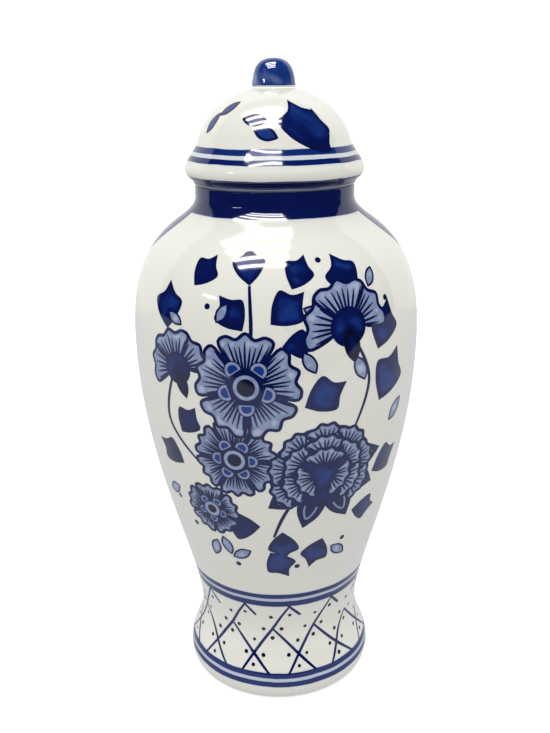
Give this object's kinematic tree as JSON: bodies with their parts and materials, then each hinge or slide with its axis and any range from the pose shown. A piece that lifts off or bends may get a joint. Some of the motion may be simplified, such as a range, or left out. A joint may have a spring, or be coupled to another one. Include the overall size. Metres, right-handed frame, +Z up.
{
  "type": "ginger jar",
  "caption": "Slim lidded porcelain jar with a wide shoulder, a drawn-in waist over a spreading foot, and a domed lid with a bud knob, painted with blue flowers.",
  "frame": {"origin": "centre of the foot's standing ring, on the surface the jar stands on", "axes": "+Z up the axis that every piece is turned round; the main painted side faces -Y"},
  "size_m": [0.0894, 0.0894, 0.2],
  "materials": {
    "jar_body": "clear gloss glaze over white porcelain painted in cobalt blue",
    "lid": "clear gloss glaze over white porcelain painted in cobalt blue",
    "knob": "clear gloss glaze over a thin blue wash"
  },
  "bodies": {
    "jar": {"jar_body": "jar_body"},
    "lid": {"lid": "lid", "knob": "knob"}
  },
  "joints": [
    {"name": "lid_lift", "type": "slide", "parent": "jar", "child": "lid", "axis": [0, 0, 1], "range_m": [0, 0.06]}
  ]
}
